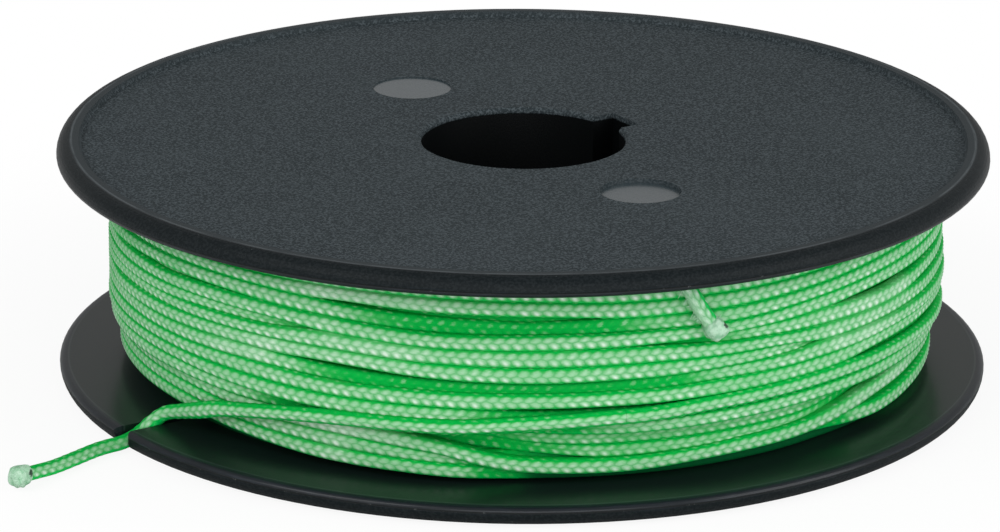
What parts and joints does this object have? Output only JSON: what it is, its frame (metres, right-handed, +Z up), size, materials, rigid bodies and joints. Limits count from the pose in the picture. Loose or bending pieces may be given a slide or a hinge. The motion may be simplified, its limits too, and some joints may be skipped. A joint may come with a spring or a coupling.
{
  "type": "fishing line spool",
  "caption": "Flanged reel with a keyed bore, wound full of braided line whose end leaves through a slot in the lower flange.",
  "frame": {"origin": "centre of the bore on the plane that the lower rim's lip rests on", "axes": "+Z up along the bore, +X through the keyway, the slot in the lower flange at -X"},
  "size_m": [0.1159, 0.1, 0.0265],
  "materials": {
    "moulded_plastic": "black moulded plastic, finely textured outer faces and smooth rims",
    "braided_line": "bright green braided cord",
    "melted_line": "pale melted cord end"
  },
  "bodies": {
    "root": {"lower_half": "moulded_plastic", "upper_half": "moulded_plastic", "inner_winding": "braided_line", "outer_winding": "braided_line", "line_tail": "braided_line", "tail_seal": "melted_line", "start_end": "braided_line", "start_seal": "melted_line"}
  },
  "joints": []
}
